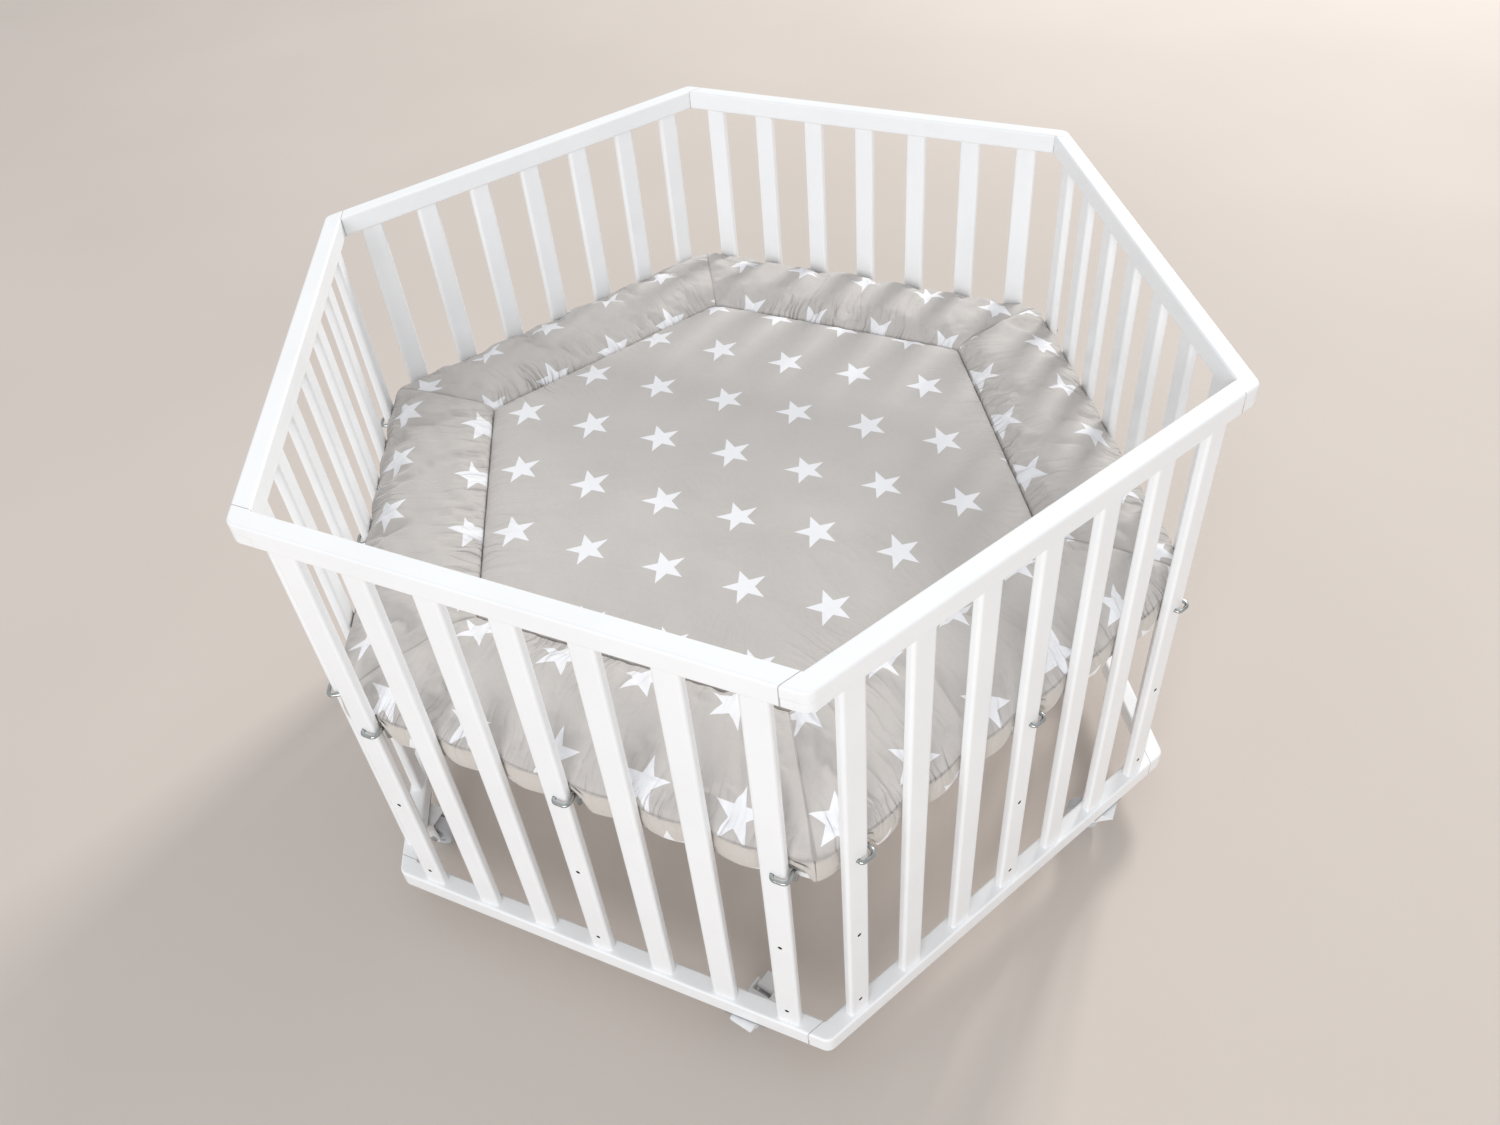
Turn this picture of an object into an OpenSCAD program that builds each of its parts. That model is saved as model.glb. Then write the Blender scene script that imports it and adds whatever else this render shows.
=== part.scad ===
// Six-sided playpen: six slatted panels lapped at the corners, a height-adjustable
// floor hung on wire hooks, a padded insert and six swivel castors.
// Millimetres, +Z up. The origin is the middle of the plan on the ground.
// Panel 1 faces +X and the panels are numbered anticlockwise seen from above,
// so two corners of the hexagon lie on the Y axis.

/* [Frame] */
// outer length of one panel, corner to corner
side = 595; // [490:1:720]
// width of the top and bottom rails
rail_w = 22; // [21:0.2:28]
// height of the top and bottom rails
rail_h = 28; // [26:1:38]
// rounding of the rails' long edges
rail_edge_r = 3; // [1:0.5:5]
// rounding of the frame's upright corners
corner_r = 14; // [8:1:20]
// gap at the lap joints
lap_gap = 0.2; // [0.1:0.1:0.5]

/* [Slats] */
// number of slats in a panel, always odd
slat_count = 7; // [5:2:9]
// free height of the slats between the rails
slat_h = 612; // [500:2:740]
// width of a slat
slat_w = 29; // [24:0.2:35]
// thickness of a slat
slat_t = 12; // [10:0.5:13]
// rounding of the slats' upright edges
slat_edge_r = 4; // [1:0.5:4.5]
// distance from the rail's outer face to the slat's outer face
slat_inset = 5; // [3:0.5:6]
// space between the last slat and the inside corner
end_gap = 25; // [22:1:40]
// depth of the slats' tenons
tenon_l = 8; // [6:0.5:10]
// gap round the tenons
glue_gap = 0.1; // [0.05:0.05:0.3]

/* [Floor] */
// number of floor levels
level_count = 3; // [1:1:3]
// height of the lowest level's holes above the bottom rail
low_level = 28; // [27:1:50]
// distance between levels
level_pitch = 150; // [120:5:170]
// thickness of the floor boards
board_t = 8; // [7:0.5:10]
// gap between the slats' inner faces and the floor
board_gap = 6.3; // [5.5:0.1:12]
// gap where the two floor boards meet
split_gap = 0.5; // [0.2:0.1:1]
// rounding of the floor's corners
board_corner_r = 20; // [10:1:40]
// width of a batten under the floor
batten_w = 40; // [30:1:60]
// thickness of a batten
batten_t = 12; // [10:1:16]
// distance from the battens' ends to the floor's edge
batten_margin = 95; // [70:5:160]
// thickness of the insert at its edge
pad_t = 36; // [20:1:50]
// gap between the insert and the floor boards
pad_gap = 0.3; // [0.2:0.1:1]

/* [Hooks] */
// thickness of the hook wire
wire_d = 4.5; // [3:0.25:5]
// drop from the hook's arm to its shank under the floor
hook_drop = 22; // [19:1:24]
// length of the shank under the floor
shank_l = 55; // [45:1:70]
// gap between a hook and the slat it holds
hook_gap = 0.3; // [0.3:0.1:1]
// diameter of the hook holes in the slats
hook_hole_d = 5.2; // [5:0.1:6]
// depth of the hook holes
hook_hole_l = 7; // [5:0.5:9]

/* [Castors] */
// height from the ground to the bottom rail
castor_h = 58; // [56:1:70]
// distance from a panel's far corner to its castor
castor_inset = 107; // [90:1:140]
// wheel diameter
wheel_d = 44; // [36:1:44]
// wheel tread width
wheel_w = 18; // [12:1:20]
// distance from the swivel pin to the axle
trail = 22; // [20:1:26]
// width of the fork
fork_w = 30; // [28:1:36]
// sheet thickness of the fork and the plate
sheet_t = 2.5; // [2:0.25:3]
// diameter of the swivel pin
pin_d = 8; // [6:0.5:9]
// diameter of the axle
axle_d = 6; // [4:0.5:7]
// radial clearance of every turning fit
run_gap = 0.05; // [0.02:0.01:0.09]

/* [Hidden] */
$fn = 48;
e = 0.01;
PANELS = 6;
a = side * cos(30);                              // outer face to the middle
rail0_z = castor_h;
slat_z = rail0_z + rail_h;
rail1_z = slat_z + slat_h;
face_x = a - slat_inset;                         // outer face of the slats
slat_x = face_x - slat_t / 2;
inner_l = side - 2 * rail_w / sqrt(3);
slat_pitch = (inner_l - 2 * end_gap - slat_w) / (slat_count - 1);
tenon_t = slat_t - 5;
tenon_w = slat_w - 9;

// corner joint
bolt_d = 6;
bolt_head_d = 10.5;
bolt_head_l = 5.5;
insert_d = 9;
insert_l = rail_h / 2 - 5;
corner_in = rail_w / 2;

// floor
hook_z = slat_z + low_level + (level_count - 1) * level_pitch;
board_z = hook_z - hook_drop + wire_d / 2 + 0.05;
board_a = a - slat_inset - slat_t - board_gap;
pad_a = board_a - 1;
pad_z = board_z + board_t + pad_gap;
batten_pitch = 0.57 * board_a;
batten_l = 2 * ((board_a - (batten_pitch + batten_w / 2) / 2) / cos(30) - batten_margin);
mid_slat = (slat_count - 1) / 2;
HOOKED = [0, mid_slat, slat_count - 1];

// hook wire, measured from the slat's outer face at the slat's middle
tip_r = 5;
edge_r = 6;
rise_r = 4;
arm_x = hook_gap + tip_r;
arm_y = slat_w / 2 + wire_d / 2 + 2;
riser_x = -slat_t - 0.5;
shank_end_x = riser_x - rise_r - shank_l;
leg_l = board_t - 2;
clip_x = riser_x - 32;
clip_w = 10;
clip_t = 1.5;
clip_tab = 15;
clip_hole_y = 9.5;
screw_d = 4;
screw_gap = 0.05;

// castors
castor_x = a - rail_w / 2;
castor_y = side / 2 - castor_inset;
YAW = [210, 135, 190, 150, 169, 207];            // way each castor trails, from outward
BRAKED = [0, 2, 4];
boss_t = 1.2;
fork_gap = 0.3;
fork_top = castor_h - sheet_t - boss_t - fork_gap;
wheel_r = wheel_d / 2;
fork_front = 18;
fork_back = trail + 4;
pin_head_d = 13;
pin_head_t = 3;
pin_up = 12;
axle_head_d = 10;
axle_head_t = 2;
plate_l = 52;
plate_screw_y = 19;
plate_screw_l = 14;
pedal_l = 20;
pedal_t = 3;
lever_r = 4;
lever_pin_d = 4;
lever_x = trail + 16;
lever_z = wheel_r + 22;
lever_nose_r = 1.5;

// colours
WHITE = [0.93, 0.93, 0.93];
STEEL = [0.72, 0.73, 0.75];
GREY = [0.70, 0.70, 0.72];
CLOTH = [0.78, 0.76, 0.74];

// ---------- shared shapes ----------

// rectangle with true round corners, lower left corner at the origin
module round_rect(w, h, r) {
  translate([r, 0]) square([w - 2 * r, h]);
  translate([0, r]) square([w, h - 2 * r]);
  for (x = [r, w - r])
    for (y = [r, h - r])
      translate([x, y]) circle(r = r);
}

// slot shape with round ends, centred, long way along Y
module stadium(w, l) {
  square([w, l - w], center = true);
  for (s = [-1, 1])
    translate([0, s * (l - w) / 2]) circle(d = w);
}

// corners on the Y axis; the rounding runs into the flats
module round_hexagon(apothem, r) {
  half = (apothem - r) * tan(30);
  polygon([for (i = [0:5], y = [-half, half])
    [apothem * cos(60 * i) - y * sin(60 * i), apothem * sin(60 * i) + y * cos(60 * i)]]);
  for (i = [0:5]) rotate(60 * i + 30) translate([(apothem - r) / cos(30), 0]) circle(r = r);
}

module on_panel(i) {
  rotate([0, 0, 60 * i]) children();
}

function slat_y(k) = (k - mid_slat) * slat_pitch;

// ---------- rails ----------

// one side of the frame's ring, as long as the straight between two round corners
module band(h) {
  l = side - 2 * corner_r / sqrt(3);
  translate([a - rail_w, l / 2, 0])
    rotate([90, 0, 0])
      linear_extrude(l) round_rect(rail_w, h, rail_edge_r);
}

// the round corner at a panel's end, s = 1 for the far end
module corner_turn(h, s) {
  inner = 0.35 * corner_r;
  translate([a - corner_r, s * (side / 2 - corner_r / sqrt(3)), 0])
    rotate([0, 0, s > 0 ? 0 : -60]) {
      rotate_extrude(angle = 60) {
        translate([inner, 0]) square([corner_r - rail_edge_r - inner, h]);
        translate([inner, rail_edge_r]) square([corner_r - inner, h - 2 * rail_edge_r]);
        for (z = [rail_edge_r, h - rail_edge_r])
          translate([corner_r - rail_edge_r, z]) circle(r = rail_edge_r);
      }
      // core, reaching into the turn and both bands
      linear_extrude(h)
        polygon([
          [-(rail_w - corner_r) / 2 * cos(30), -(rail_w - corner_r) / 4],
          [0.6 * corner_r, -0.2 * corner_r],
          [corner_r * (0.6 * cos(60) - 0.2 * sin(60)), corner_r * (0.6 * sin(60) + 0.2 * cos(60))]
        ]);
    }
}

// everything further out than the neighbour's inner face, at the end s
module neighbour_cut(s, z0, z1) {
  rotate([0, 0, 60 * s])
    translate([a - rail_w - lap_gap, -side, z0])
      cube([rail_w + lap_gap + 20, 2 * side, z1 - z0]);
}

// a rail of panel 1 standing on z = 0, with an upper tongue at its near end
// and a lower tongue at its far end
module rail_blank(h) {
  difference() {
    union() {
      band(h);
      for (s = [-1, 1]) {
        rotate([0, 0, 60 * s]) band(h);
        corner_turn(h, s);
      }
    }
    translate([a - rail_w - 2 * side, -side, -1]) cube([2 * side, 2 * side, h + 2]);
    neighbour_cut(1, h / 2 - lap_gap / 2, h + 1);
    neighbour_cut(-1, -1, h / 2 + lap_gap / 2);
  }
}

module at_corner_joint(s) {
  translate([a - corner_in, s * (side / 2 - corner_in / sqrt(3)), 0]) children();
}

module corner_holes(h) {
  at_corner_joint(1) {
    translate([0, 0, -1]) cylinder(d = bolt_d + 0.3, h = h);
    translate([0, 0, -1]) cylinder(d = bolt_head_d + 0.7, h = bolt_head_l + 1.5);
  }
  at_corner_joint(-1)
    translate([0, 0, h / 2 - 1]) cylinder(d = insert_d + 0.1, h = insert_l + 2);
}

module mortises(z0) {
  for (k = [0:slat_count - 1])
    translate([slat_x, slat_y(k), z0])
      linear_extrude(tenon_l + glue_gap + 1)
        stadium(tenon_t + 2 * glue_gap, tenon_w + 2 * glue_gap);
}

module top_rail(i) {
  on_panel(i)
    translate([0, 0, rail1_z])
      difference() {
        rail_blank(rail_h);
        corner_holes(rail_h);
        mortises(-1);
      }
}

module bottom_rail(i) {
  on_panel(i)
    translate([0, 0, rail0_z])
      difference() {
        rail_blank(rail_h);
        corner_holes(rail_h);
        mortises(rail_h - tenon_l - glue_gap);
        translate([castor_x, castor_y, -1]) {
          cylinder(d = pin_d + 0.2, h = pin_up + 1.5);
          for (s = [-1, 1])
            translate([0, s * plate_screw_y, 0])
              cylinder(d = screw_d + 2 * screw_gap, h = plate_screw_l + 1.5);
        }
      }
}

// ---------- corner fasteners ----------

module each_corner_joint() {
  for (i = [0:PANELS - 1])
    for (z = [rail0_z, rail1_z])
      on_panel(i) at_corner_joint(1) translate([0, 0, z]) children();
}

module corner_bolt() {
  difference() {
    union() {
      translate([0, 0, 0.5]) cylinder(d = bolt_head_d, h = bolt_head_l);
      cylinder(d = bolt_d, h = rail_h / 2 + insert_l);
    }
    translate([0, 0, -1]) cylinder(d = bolt_d + 2, h = 1.5);
    cylinder(d = 5.6, h = 3.5, $fn = 6);
  }
}

module corner_insert() {
  translate([0, 0, rail_h / 2 + 0.3])
    difference() {
      cylinder(d = insert_d, h = insert_l);
      translate([0, 0, -1]) cylinder(d = bolt_d + 0.1, h = insert_l + 2);
    }
}

// ---------- slats ----------

module hook_holes() {
  for (n = [0:level_count - 1])
    translate([face_x - hook_hole_l, 0, slat_z + low_level + n * level_pitch])
      rotate([0, 90, 0]) cylinder(d = hook_hole_d, h = hook_hole_l + 1);
}

module slat() {
  translate([face_x - slat_t, -slat_w / 2, slat_z])
    linear_extrude(slat_h) round_rect(slat_t, slat_w, slat_edge_r);
  for (z = [slat_z - tenon_l, slat_z + slat_h - 1])
    translate([slat_x, 0, z]) linear_extrude(tenon_l + 1) stadium(tenon_t, tenon_w);
}

function hooked(k) = len(search(k, HOOKED)) > 0;

module slats(i) {
  on_panel(i)
    for (k = [0:slat_count - 1])
      translate([0, slat_y(k), 0])
        if (hooked(k)) {
          difference() {
            slat();
            hook_holes();
          }
        } else {
          slat();
        }
}

// ---------- floor ----------

module each_hook() {
  for (i = [0:PANELS - 1])
    for (k = HOOKED)
      on_panel(i) translate([face_x, slat_y(k), hook_z]) children();
}

module board_cuts() {
  each_hook() {
    translate([shank_end_x, arm_y, -hook_drop]) {
      cylinder(d = wire_d + 0.2, h = wire_d / 2 + leg_l + 0.5);
      // mouth for the inside of the wire's bend
      translate([0, 0, wire_d / 2])
        cylinder(r1 = rise_r + 0.5, r2 = wire_d / 2 + 0.1, h = rise_r - wire_d / 2);
    }
    translate([clip_x, arm_y + clip_hole_y, -hook_drop])
      cylinder(d = screw_d + 2 * screw_gap, h = wire_d / 2 + board_t - 1);
  }
  each_batten_screw()
    translate([0, 0, -batten_t]) cylinder(d = screw_d + 2 * screw_gap, h = batten_t + board_t - 2);
}

// s = 1 for the half behind the split, -1 for the half in front
module floor_board(s) {
  difference() {
    translate([0, 0, board_z]) linear_extrude(board_t) round_hexagon(board_a, board_corner_r);
    translate([-side, s > 0 ? split_gap / 2 - 2 * side : -split_gap / 2, board_z - 1])
      cube([2 * side, 2 * side, board_t + 2]);
    board_cuts();
  }
}

module each_batten_screw(first = 0, last = 2) {
  for (n = [first:last])
    for (y = [-0.42, -0.12, 0.12, 0.42])
      translate([(n - 1) * batten_pitch, y * batten_l, board_z]) children();
}

module countersunk(l, head_t) {
  cylinder(d = screw_d, h = l);
  cylinder(d1 = 2 * screw_d, d2 = screw_d, h = head_t);
}

module floor_batten(n) {
  difference() {
    translate([(n - 1) * batten_pitch - batten_w / 2, -batten_l / 2, board_z - batten_t])
      cube([batten_w, batten_l, batten_t]);
    each_batten_screw(n, n)
      translate([0, 0, -batten_t - 1]) {
        cylinder(d = screw_d + 2 * screw_gap, h = batten_t + 2);
        cylinder(d = 2 * screw_d + 0.2, h = 1 + e);
        translate([0, 0, 1]) cylinder(d1 = 2 * screw_d + 0.2, d2 = screw_d + 2 * screw_gap, h = 2.1);
      }
  }
}

// ---------- hooks ----------

// quarter bend in the XY plane: starts at the origin heading +X and turns to +Y
module bend(r) {
  translate([0, r, 0]) rotate([0, 0, -90]) rotate_extrude(angle = 90) translate([r, 0]) circle(d = wire_d);
}

module rod_x(l) {
  rotate([0, 90, 0]) cylinder(d = wire_d, h = l);
}

module rod_y(l) {
  rotate([-90, 0, 0]) cylinder(d = wire_d, h = l);
}

module hook() {
  // tip, arm across the slat and bend round its edge
  translate([hook_gap, 0, 0]) bend(tip_r);
  translate([arm_x, tip_r, 0]) rod_y(arm_y - edge_r - tip_r);
  translate([arm_x, arm_y - edge_r, 0]) rotate([0, 0, 90]) bend(edge_r);
  // in between the slats, down and in under the floor
  translate([riser_x + rise_r, arm_y, 0]) rod_x(arm_x - edge_r - riser_x - rise_r);
  translate([riser_x + rise_r, arm_y, 0]) rotate([90, 0, 180]) mirror([0, 1, 0]) bend(rise_r);
  translate([riser_x, arm_y, rise_r - hook_drop]) cylinder(d = wire_d, h = hook_drop - 2 * rise_r);
  translate([riser_x - rise_r, arm_y, -hook_drop]) rotate([90, 0, 0]) bend(rise_r);
  translate([shank_end_x + rise_r, arm_y, -hook_drop]) rod_x(shank_l - rise_r);
  // turned-up end in the board
  translate([shank_end_x + rise_r, arm_y, -hook_drop]) rotate([90, 0, 180]) bend(rise_r);
  translate([shank_end_x, arm_y, rise_r - hook_drop])
    cylinder(d = wire_d, h = wire_d / 2 + leg_l - rise_r);
}

module hook_clip() {
  r = wire_d / 2;
  translate([clip_x, arm_y, -hook_drop])
    difference() {
      rotate([90, 0, 90])
        linear_extrude(clip_w, center = true)
          difference() {
            union() {
              circle(r = r + clip_t);
              translate([-r - clip_t, 0]) square([2 * (r + clip_t), r]);
              translate([0, r - clip_t]) square([clip_tab, clip_t]);
            }
            circle(r = r + 0.05);
            translate([-r - 0.05, 0]) square([2 * r + 0.1, r + 1]);
            translate([-2 * r - 5, r]) square([4 * r + 10, 5]);
          }
      translate([0, clip_hole_y, r - 5]) cylinder(d = screw_d + 2 * screw_gap, h = 10);
    }
}

module clip_screw() {
  translate([clip_x, arm_y + clip_hole_y, -hook_drop + wire_d / 2 - clip_t]) {
    cylinder(d = screw_d, h = clip_t + board_t - 2);
    translate([0, 0, -2.4]) cylinder(d = 7.5, h = 2.4);
  }
}

// ---------- castors ----------

module at_castor(i) {
  on_panel(i) translate([castor_x, castor_y, 0]) children();
}

// X is the way the wheel trails
module trailing(i) {
  at_castor(i) rotate([0, 0, YAW[i]]) children();
}

module castor_plate(i) {
  at_castor(i)
    difference() {
      union() {
        translate([-rail_w / 2 + 0.5, -plate_l / 2, castor_h - sheet_t])
          cube([rail_w - 1, plate_l, sheet_t]);
        translate([0, 0, castor_h - sheet_t - boss_t]) cylinder(d = rail_w - 2, h = boss_t + 1);
      }
      translate([0, 0, castor_h - 10]) cylinder(d = pin_d + 0.1, h = 20);
      for (s = [-1, 1])
        translate([0, s * plate_screw_y, castor_h - sheet_t]) {
          translate([0, 0, -5]) cylinder(d = screw_d + 2 * screw_gap, h = 10);
          translate([0, 0, -e]) cylinder(d1 = 2 * screw_d + 0.2, d2 = screw_d + 2 * screw_gap, h = 2.1);
        }
    }
}

module plate_screw() {
  for (s = [-1, 1])
    translate([0, s * plate_screw_y, castor_h - sheet_t])
      countersunk(sheet_t + plate_screw_l, 2);
}

module swivel_pin() {
  translate([0, 0, fork_top - sheet_t - fork_gap]) {
    cylinder(d = pin_d, h = castor_h + pin_up - fork_top + sheet_t + fork_gap);
    translate([0, 0, -pin_head_t]) cylinder(d = pin_head_d, h = pin_head_t);
  }
}

function braked(i) = len(search(i, BRAKED)) > 0;

// side cheek of the fork, drawn with trail along X and height along Y
module cheek(with_ear) {
  difference() {
    union() {
      polygon([[-fork_front, fork_top], [fork_back, fork_top],
               [trail + 8, wheel_r], [trail - 8, wheel_r]]);
      translate([trail, wheel_r]) circle(r = 8);
      if (with_ear) {
        polygon([[trail - 4, fork_top], [fork_back, fork_top], [lever_x, lever_z + 6],
                 [lever_x, lever_z - 6], [trail + 7, wheel_r + 8]]);
        translate([lever_x, lever_z]) circle(r = 6);
      }
    }
    translate([trail, wheel_r]) circle(d = axle_d + 2 * run_gap);
    if (with_ear) translate([lever_x, lever_z]) circle(d = lever_pin_d + 2 * run_gap);
  }
}

module castor_fork(i) {
  trailing(i)
    difference() {
      union() {
        translate([-fork_front, -fork_w / 2, fork_top - sheet_t])
          linear_extrude(sheet_t) round_rect(fork_front + fork_back, fork_w, 2);
        for (y = [sheet_t - fork_w / 2, fork_w / 2])
          translate([0, y, 0]) rotate([90, 0, 0]) linear_extrude(sheet_t) cheek(braked(i));
      }
      translate([0, 0, fork_top - 10]) cylinder(d = pin_d + 2 * run_gap, h = 20);
    }
}

module castor_wheel(i) {
  hub_l = fork_w - 2 * sheet_t - 1;
  trailing(i)
    translate([trail, 0, wheel_r])
      rotate([90, 0, 0])
        difference() {
          rotate_extrude() {
            // tread with round shoulders
            translate([0, -wheel_w / 2]) square([wheel_r - 3, wheel_w]);
            translate([0, 3 - wheel_w / 2]) square([wheel_r, wheel_w - 6]);
            for (z = [3 - wheel_w / 2, wheel_w / 2 - 3])
              translate([wheel_r - 3, z]) circle(r = 3);
            translate([0, -hub_l / 2]) square([6.5, hub_l]);
          }
          translate([0, 0, -fork_w]) cylinder(d = axle_d + 2 * run_gap, h = 2 * fork_w);
          for (s = [-1, 1])
            translate([0, 0, s * wheel_w / 2])
              rotate_extrude() translate([6.5, -2.5]) square([wheel_r * 0.35, 5]);
        }
}

module castor_axle(i) {
  trailing(i)
    translate([trail, 0, wheel_r])
      rotate([90, 0, 0]) {
        cylinder(d = axle_d, h = fork_w + 2 * axle_head_t, center = true);
        for (s = [-1, 1])
          translate([0, 0, s * (fork_w + axle_head_t) / 2])
            cylinder(d = axle_head_d, h = axle_head_t, center = true);
      }
}

// pressed down, so its nose stands just off the tread
module brake_lever(i) {
  inner_w = fork_w - 2 * sheet_t;
  reach = norm([lever_x - trail, lever_z - wheel_r]) - wheel_r - fork_gap;
  nose_a = atan2(wheel_r - lever_z, trail - lever_x);
  trailing(i)
    translate([lever_x, 0, lever_z])
      rotate([90, 0, 0]) {
        cylinder(r = lever_r, h = inner_w - 1, center = true);
        cylinder(d = lever_pin_d, h = fork_w, center = true);
        rotate([0, 0, -15]) {
          translate([0, -pedal_t / 2, -inner_w / 2 + 1.5])
            cube([pedal_l, pedal_t, inner_w - 3]);
          translate([pedal_l, 0, 0]) cylinder(d = pedal_t, h = inner_w - 3, center = true);
        }
        rotate([0, 0, nose_a + 180])
          translate([-reach + lever_nose_r, 0, 0])
            cylinder(r = lever_nose_r, h = wheel_w - 6, center = true);
      }
}

// ---------- nodes ----------

module top_rail_1() { color(WHITE) top_rail(0); }
module top_rail_2() { color(WHITE) top_rail(1); }
module top_rail_3() { color(WHITE) top_rail(2); }
module top_rail_4() { color(WHITE) top_rail(3); }
module top_rail_5() { color(WHITE) top_rail(4); }
module top_rail_6() { color(WHITE) top_rail(5); }
module bottom_rail_1() { color(WHITE) bottom_rail(0); }
module bottom_rail_2() { color(WHITE) bottom_rail(1); }
module bottom_rail_3() { color(WHITE) bottom_rail(2); }
module bottom_rail_4() { color(WHITE) bottom_rail(3); }
module bottom_rail_5() { color(WHITE) bottom_rail(4); }
module bottom_rail_6() { color(WHITE) bottom_rail(5); }
module slats_1() { color(WHITE) slats(0); }
module slats_2() { color(WHITE) slats(1); }
module slats_3() { color(WHITE) slats(2); }
module slats_4() { color(WHITE) slats(3); }
module slats_5() { color(WHITE) slats(4); }
module slats_6() { color(WHITE) slats(5); }
module corner_bolts() { color(STEEL) each_corner_joint() corner_bolt(); }
module corner_inserts() { color(STEEL) each_corner_joint() corner_insert(); }
module floor_board_back() { color(WHITE) floor_board(1); }
module floor_board_front() { color(WHITE) floor_board(-1); }
module floor_batten_1() { color(WHITE) floor_batten(0); }
module floor_batten_2() { color(WHITE) floor_batten(1); }
module floor_batten_3() { color(WHITE) floor_batten(2); }
module batten_screws() {
  color(STEEL) each_batten_screw() translate([0, 0, -batten_t]) countersunk(batten_t + board_t - 3, 2);
}
module floor_hooks() { color(STEEL) each_hook() hook(); }
module hook_clips() { color(STEEL) each_hook() hook_clip(); }
module clip_screws() { color(STEEL) each_hook() clip_screw(); }
module insert_pad() {
  color(CLOTH) translate([0, 0, pad_z]) linear_extrude(pad_t) round_hexagon(pad_a, board_corner_r);
}
module castor_plate_1() { color(STEEL) castor_plate(0); }
module castor_plate_2() { color(STEEL) castor_plate(1); }
module castor_plate_3() { color(STEEL) castor_plate(2); }
module castor_plate_4() { color(STEEL) castor_plate(3); }
module castor_plate_5() { color(STEEL) castor_plate(4); }
module castor_plate_6() { color(STEEL) castor_plate(5); }
module plate_screws() { color(STEEL) for (i = [0:PANELS - 1]) at_castor(i) plate_screw(); }
module swivel_pins() { color(STEEL) for (i = [0:PANELS - 1]) at_castor(i) swivel_pin(); }
module castor_fork_1() { color(WHITE) castor_fork(0); }
module castor_fork_2() { color(WHITE) castor_fork(1); }
module castor_fork_3() { color(WHITE) castor_fork(2); }
module castor_fork_4() { color(WHITE) castor_fork(3); }
module castor_fork_5() { color(WHITE) castor_fork(4); }
module castor_fork_6() { color(WHITE) castor_fork(5); }
module castor_wheel_1() { color(GREY) castor_wheel(0); }
module castor_wheel_2() { color(GREY) castor_wheel(1); }
module castor_wheel_3() { color(GREY) castor_wheel(2); }
module castor_wheel_4() { color(GREY) castor_wheel(3); }
module castor_wheel_5() { color(GREY) castor_wheel(4); }
module castor_wheel_6() { color(GREY) castor_wheel(5); }
module castor_axle_1() { color(STEEL) castor_axle(0); }
module castor_axle_2() { color(STEEL) castor_axle(1); }
module castor_axle_3() { color(STEEL) castor_axle(2); }
module castor_axle_4() { color(STEEL) castor_axle(3); }
module castor_axle_5() { color(STEEL) castor_axle(4); }
module castor_axle_6() { color(STEEL) castor_axle(5); }
module brake_lever_1() { color(WHITE) brake_lever(0); }
module brake_lever_3() { color(WHITE) brake_lever(2); }
module brake_lever_5() { color(WHITE) brake_lever(4); }

top_rail_1();
top_rail_2();
top_rail_3();
top_rail_4();
top_rail_5();
top_rail_6();
bottom_rail_1();
bottom_rail_2();
bottom_rail_3();
bottom_rail_4();
bottom_rail_5();
bottom_rail_6();
slats_1();
slats_2();
slats_3();
slats_4();
slats_5();
slats_6();
corner_bolts();
corner_inserts();
floor_board_back();
floor_board_front();
floor_batten_1();
floor_batten_2();
floor_batten_3();
batten_screws();
floor_hooks();
hook_clips();
clip_screws();
insert_pad();
castor_plate_1();
castor_plate_2();
castor_plate_3();
castor_plate_4();
castor_plate_5();
castor_plate_6();
plate_screws();
swivel_pins();
castor_fork_1();
castor_fork_2();
castor_fork_3();
castor_fork_4();
castor_fork_5();
castor_fork_6();
castor_wheel_1();
castor_wheel_2();
castor_wheel_3();
castor_wheel_4();
castor_wheel_5();
castor_wheel_6();
castor_axle_1();
castor_axle_2();
castor_axle_3();
castor_axle_4();
castor_axle_5();
castor_axle_6();
brake_lever_1();
brake_lever_3();
brake_lever_5();
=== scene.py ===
import math

import bpy
import numpy as np
from mathutils import Matrix, Vector, noise


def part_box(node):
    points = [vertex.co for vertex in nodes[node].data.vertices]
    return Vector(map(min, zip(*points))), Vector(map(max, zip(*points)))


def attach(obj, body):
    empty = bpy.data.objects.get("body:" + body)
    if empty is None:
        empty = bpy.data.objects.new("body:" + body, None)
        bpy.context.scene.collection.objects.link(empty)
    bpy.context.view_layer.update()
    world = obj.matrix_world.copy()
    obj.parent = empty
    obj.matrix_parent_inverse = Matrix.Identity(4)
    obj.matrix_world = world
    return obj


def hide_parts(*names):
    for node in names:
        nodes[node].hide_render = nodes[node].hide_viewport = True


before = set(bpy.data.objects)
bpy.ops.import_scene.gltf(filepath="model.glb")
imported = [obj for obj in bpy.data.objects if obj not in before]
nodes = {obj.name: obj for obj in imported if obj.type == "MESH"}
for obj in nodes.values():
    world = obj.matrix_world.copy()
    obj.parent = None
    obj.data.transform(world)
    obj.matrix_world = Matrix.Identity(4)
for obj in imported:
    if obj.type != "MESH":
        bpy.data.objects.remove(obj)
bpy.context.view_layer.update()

# ---------------------------------------------------------------- sizes
# places come from the frame's boxes; widths and levels that no box gives repeat the part's source
PAD_LO, PAD_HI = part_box("insert_pad")
SLAT_LO, SLAT_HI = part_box("slats_1")
HOOK_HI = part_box("floor_hooks")[1]
BOARD_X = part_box("floor_board_back")[1].x
SLAT_IN, SLAT_OUT = SLAT_LO.x, SLAT_HI.x
RAIL_W = 0.022
LAP_GAP = 0.0001
LAP_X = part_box("top_rail_1")[1].x - RAIL_W - LAP_GAP
HOLE_R = 0.0026
HOLE_LEVELS = (0.114, 0.264, 0.414)
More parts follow.
